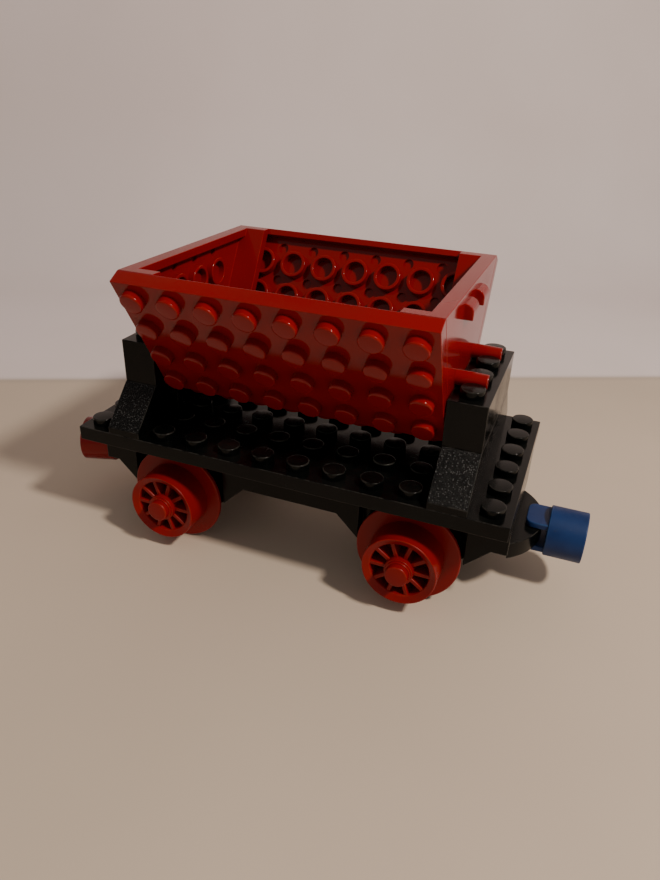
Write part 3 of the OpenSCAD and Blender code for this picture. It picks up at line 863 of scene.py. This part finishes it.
def couplerParts():
    c = coupler
    start = c["caseLong"] - c["magnetSink"] - c["magnetLong"]
    axis = move(c["caseX"], 0, coupling["z"]) @ turn(90, "Y")
    case = placed(caseShape(start), axis)
    root = c["caseX"] + c["tabIn"]
    tab = [(root, -c["tabY"]), (root, c["tabY"]), (c["tabX"], c["tabY"]), (c["tabX"], -c["tabY"]),
           (root, -c["tabY"])]
    outline = [(p.x, p.y) for p in rounded(tab, c["tabCorner"], sharp=(1,), steps=6)][:-1][::-1]
    reach = coupling["tongueH"] / 2 + c["tabGap"]
    for low in (reach, -reach - c["tabT"]):
        addPart(case, prism(outline, low, low + c["tabT"], c["tabEdge"], 3), move(z=coupling["z"]))
    end = start + c["magnetLong"]
    ends = [(0, start), (c["magnetR"], start), (c["magnetR"], end), (0, end)]
    magnet = placed(turned(rounded(ends, c["magnetEdge"]), c["magnetSides"]), axis)
    foot, head = c["pinSink"] - reach - c["tabT"], coupling["slotTop"] - c["pinShort"]
    ends = [(0, foot), (c["pinR"], foot), (c["pinR"], head), (0, head)]
    pin = turned(rounded(ends, c["pinEdge"]), c["pinSides"])
    pin = placed(pin, move(coupling["swingX"] + coupling["slotR"], 0, coupling["z"]))
    return {"case": case, "magnet": magnet, "pin": pin}


def buildCouplers():
    parts = couplerParts()
    swing = coupling["swingX"]
    rear = move(x=-swing) @ turn(180 + coupler["rearSwing"], "Z") @ move(x=-swing)
    looks = {"front": (Matrix.Identity(4), "blue_plastic", paint["blue"]),
             "rear": (rear, "red_plastic", paint["red"])}
    for end, (place, slotName, colour) in looks.items():
        for piece, part in parts.items():
            isMagnet = piece == "magnet"
            finishPiece(f"{end}_coupler_{piece}", placed(part, place), end + "_coupler",
                        [paint["ferrite"] if isMagnet else colour])


buildCouplers()
print("couplers built")

# Bucket

bucket = {"angle": 60.0, "long": 8, "rows": 4, "floorRows": 2, "rimHalf": 24.8, "halfX": 31.9, "endDeep": 7.9,
          "endT": 1.6, "endEdge": 0.15, "flangeT": 2.3, "rimW": 3.1, "rimH": 1.8, "ringDrop": 7.5,
          "ringLong": 1.5, "dimpleDrop": 2.9, "dimpleR": 1.0, "dimpleDeep": 0.8, "dimpleSides": 20,
          "lugW": 5.5, "lugH": 3.1, "lugOut": 1.75, "lugY": 2.6, "lugDrop": 5.2, "lugEdge": 0.22,
          "barR": 1.55, "barLong": 6.2, "barTaper": 0.12, "barEdge": 0.18, "barSides": 36,
          "headR": 2.3, "headT": 0.7, "sunk": 0.4, "clear": 9.0, "stepHalf": 40.0}
rimTop = boxOf("bucket_front_end")[1].z
barLow, barHigh = boxOf("left_pivot_pins")
barY, barZ = (barLow.y + barHigh.y) / 2, (barLow.z + barHigh.z) / 2
slopeLong = bucket["rows"] * brick["pitch"] - 2 * brick["gap"]
slant = math.radians(bucket["angle"])
footHalf = bucket["rimHalf"] - slopeLong * math.cos(slant)
footTop = rimTop - slopeLong * math.sin(slant)


def onLeftSlope(along=0.0, up=0.0):
    # From the left wall's own axes: along X, and up the slope from the wall's foot
    return move(0, footHalf, footTop) @ turn(bucket["angle"], "X") @ move(along, up)


def trough(inset, low, high):
    # Outline in Y and Z between two heights, inset from the walls' plates
    bottom, top = (footHalf + (z - footTop) / math.tan(slant) - inset / math.sin(slant) for z in (low, high))
    return [(-top, high), (-bottom, low), (bottom, low), (top, high)]


def bar():
    b = bucket
    line = [(0, -b["sunk"]), (b["barR"], -b["sunk"]), (b["barR"], b["barLong"] / 2),
            (b["barR"] - b["barTaper"], b["barLong"]), (0, b["barLong"])]
    return turned(rounded(line, b["barEdge"], sharp=(1, 2)), b["barSides"])


def endShell(innerX, wallX):
    # End wall with its inner flanges and its rim, hollow towards the middle of the bucket
    b, past = bucket, meshing["past"]
    body = placed(prism(trough(0, footTop, rimTop), innerX, b["halfX"]), alongX)
    under, stripX, over = rimTop - b["rimH"], b["halfX"] - b["rimW"], rimTop + b["clear"]
    step = [(0, 0), (wallX, 0), (wallX, under), (stripX, under), (stripX, over), (0, over)]
    hollow = prism(trough(b["flangeT"], footTop + b["flangeT"], rimTop + past), innerX - past, wallX + past)
    limit = placed(prism(step, -b["stepHalf"], b["stepHalf"]), alongY)
    pocket = carve(placed(hollow, alongX), [limit], "INTERSECT")
    return roundEdges(carve(body, [pocket]), b["endEdge"])


def catchLug():
    # Outline in X and Z with its upper outer edge rounded, as wide as a lug
    b = bucket
    outline = [(-b["sunk"], 0), (b["lugOut"], 0)]
    outline += arc((0, b["lugH"] - b["lugOut"]), b["lugOut"], 0, 90, 6) + [(-b["sunk"], b["lugH"])]
    return prism(outline, 0, b["lugW"], b["lugEdge"], 3)


def bucketEnd():
    # Shell with dimples, rings, studs, catch lugs and the right bar
    b = bucket
    innerX, wallX = b["halfX"] - b["endDeep"], b["halfX"] - b["endT"]
    part = endShell(innerX, wallX)
    inwards = turn(-90, "Y")
    line = [(0, -b["dimpleDeep"]), (b["dimpleR"], -b["dimpleDeep"]), (b["dimpleR"], meshing["past"]),
            (0, meshing["past"])]
    dimple = turned(line, b["dimpleSides"])
    spots = [move(wallX, k * brick["pitch"], rimTop - b["dimpleDrop"]) @ inwards for k in (-1, 0, 1)]
    part = carve(part, [placed(dimple, spot) for spot in spots])
    inner, outer = brick["tubeInner"], brick["tubeOuter"]
    line = [(inner, -brick["sunk"]), (inner, b["ringLong"]), (outer, b["ringLong"]), (outer, -brick["sunk"])]
    ring = turned(rounded(line, brick["tubeEdge"]), brick["tubeSides"], closed=True)
    for k in (-1, 0, 1):
        addPart(part, ring, move(wallX, k * brick["pitch"], rimTop - b["ringDrop"]) @ inwards)
    middle = innerX + brick["pitch"] / 2
    for row in range(b["rows"]):
        outward = onLeftSlope(middle, (row + 0.5) * brick["pitch"] - brick["gap"]) @ upDown
        addPart(part, bucketStud, outward)
        addPart(part, bucketStud, leftRight @ outward)
    for side in (-1, 1):
        addPart(part, bucketStud, move(middle, side * brick["pitch"] / 2, footTop) @ upDown)
        y = side * (b["lugY"] + b["lugW"] / 2) + b["lugW"] / 2
        addPart(part, catchLug(), move(b["halfX"], y, rimTop - b["lugDrop"]) @ alongY)
    return addPart(part, bar(), move(b["halfX"], -barY, barZ) @ turn(90, "Y"))


def leftPins():
    # The two left bars, each with a head inside its end wall
    b = bucket
    wallX, tip = b["halfX"] - b["endT"], b["halfX"] + b["barLong"]
    line = [(0, wallX), (b["headR"], wallX), (b["headR"], wallX + b["headT"]),
            (b["barR"], wallX + b["headT"]), (b["barR"], b["halfX"] + b["barLong"] / 2),
            (b["barR"] - b["barTaper"], tip), (0, tip)]
    pin = turned(rounded(line, b["barEdge"], sharp=(3, 4)), b["barSides"])
    front = move(0, barY, barZ) @ turn(90, "Y")
    return addPart(placed(pin, front), pin, frontBack @ front)


def redPiece(node, part, body="bucket"):
    finishPiece(node, part, body, [paint["red"]])


def buildBucket():
    b = bucket
    wall = placed(plate(b["long"], b["rows"], bucketStud), onLeftSlope(up=slopeLong / 2) @ upDown)
    redPiece("bucket_left_wall", placed(wall))
    redPiece("bucket_right_wall", placed(wall, leftRight))
    redPiece("bucket_floor", placed(plate(b["long"], b["floorRows"]), move(z=footTop) @ upDown))
    end = bucketEnd()
    redPiece("bucket_front_end", placed(end))
    redPiece("bucket_rear_end", placed(end, frontBack))
    redPiece("left_pivot_pins", leftPins(), "tipping_link")


buildBucket()
print("bucket built")

# Studio, in metres: a pale floor that curves up into a lighter wall, whose lighter colour is partly painted
# light, one warm key light and soft fill

# Beyond the joint the card takes the wall colour, lighter partly as painted light for the dim far card; the
# line colour is a painted crease shadow
studio = {"turn": 26.6, "front": -1.6, "joint": 0.091, "curve": 0.20, "radius": 0.08, "curveSteps": 16,
          "high": 0.9, "half": 1.8, "floor": (0.65, 0.55, 0.445), "floorShade": (0.60, 0.505, 0.41),
          "wall": (0.88, 0.80, 0.80), "wallShade": (0.83, 0.75, 0.74), "line": (0.40, 0.35, 0.30),
          "creaseShadeHalf": 0.004, "creaseShadeShare": 0.35, "blend": (-0.001, 0.002), "rough": 0.6, "gloss": 0.2,
          "world": (0.60, 0.54, 0.50), "worldStrength": 0.52, "key": (0.290, -0.120, 0.366),
          "keyAim": (0, 0, 0.03), "keyR": 0.022, "keyPower": 1.78, "keyColour": (1.0, 0.87, 0.75)}


def paintSweep():
    # Floor colour; beyond the joint a wall colour, partly the wall's own paler colour and partly painted
    # light that makes up for the dimmer light on the far card; and a painted crease shadow along the joint
    s = studio
    material, tree, shader = newMaterial("paleCard")
    cloudy = ramp(tree, noiseAt(tree, 9.0, 3.0, 0.5), 0.3, 0.7)
    where = addNode(tree, "ShaderNodeTexCoord").outputs["Object"]
    depth = addNode(tree, "ShaderNodeSeparateXYZ", Vector=where).outputs["Y"]
    # Beyond the joint: the lighter wall colour, partly painted light
    beyond = ramp(tree, depth, *(s["joint"] + shift for shift in s["blend"]))
    # Painted crease shadow: a soft dark line along the joint, standing in for the shade where floor meets
    # wall
    besideCrease = mathNode(tree, "ABSOLUTE", mathNode(tree, "SUBTRACT", depth, s["joint"]))
    creaseShadeMask = mathNode(tree, "SUBTRACT", 1.0, ramp(tree, besideCrease, 0.0, s["creaseShadeHalf"]))
    floor = mixColour(tree, cloudy, s["floor"], s["floorShade"])
    wall = mixColour(tree, cloudy, s["wall"], s["wallShade"])
    card = mixColour(tree, beyond, floor, wall)
    # Painted shade: the crease shadow's colour mixed in along the joint
    card = mixColour(tree, mathNode(tree, "MULTIPLY", creaseShadeMask, s["creaseShadeShare"]), card, s["line"])
    tree.links.new(card, shader.inputs["Base Color"])
    shader.inputs["Roughness"].default_value = s["rough"]
    shader.inputs["Specular IOR Level"].default_value = s["gloss"]
    return material


def makeSweep():
    s = studio
    line = [(s["front"], 0), (s["joint"], 0)]
    line += arc((s["curve"], s["radius"]), s["radius"], -90, 0, s["curveSteps"])
    line.append((s["curve"] + s["radius"], s["high"]))
    part = bmesh.new()
    sides = [[part.verts.new((x, y, z)) for y, z in line] for x in (-s["half"], s["half"])]
    for k in range(len(line) - 1):
        part.faces.new((sides[0][k], sides[1][k], sides[1][k + 1], sides[0][k + 1]))
    mesh = bpy.data.meshes.new("sweep")
    part.to_mesh(mesh)
    part.free()
    mesh.shade_smooth()
    sweep = bpy.data.objects.new("sweep", mesh)
    sweep.matrix_world = turn(s["turn"], "Z")
    bpy.context.scene.collection.objects.link(sweep)
    mesh.materials.append(paintSweep())


def buildStudio():
    s = studio
    makeSweep()
    world = bpy.data.worlds.new("studio")
    world.use_nodes = True
    world.node_tree.nodes["Background"].inputs["Color"].default_value = (*s["world"], 1)
    world.node_tree.nodes["Background"].inputs["Strength"].default_value = s["worldStrength"]
    bpy.context.scene.world = world
    data = bpy.data.lights.new("key", "AREA")
    data.shape, data.size, data.energy, data.color = "DISK", 2 * s["keyR"], s["keyPower"], s["keyColour"]
    lamp = bpy.data.objects.new("key", data)
    bpy.context.scene.collection.objects.link(lamp)
    lamp.location = s["key"]
    lamp.rotation_euler = (Vector(s["keyAim"]) - lamp.location).to_track_quat("-Z", "Y").to_euler()


buildStudio()
print("studio built")
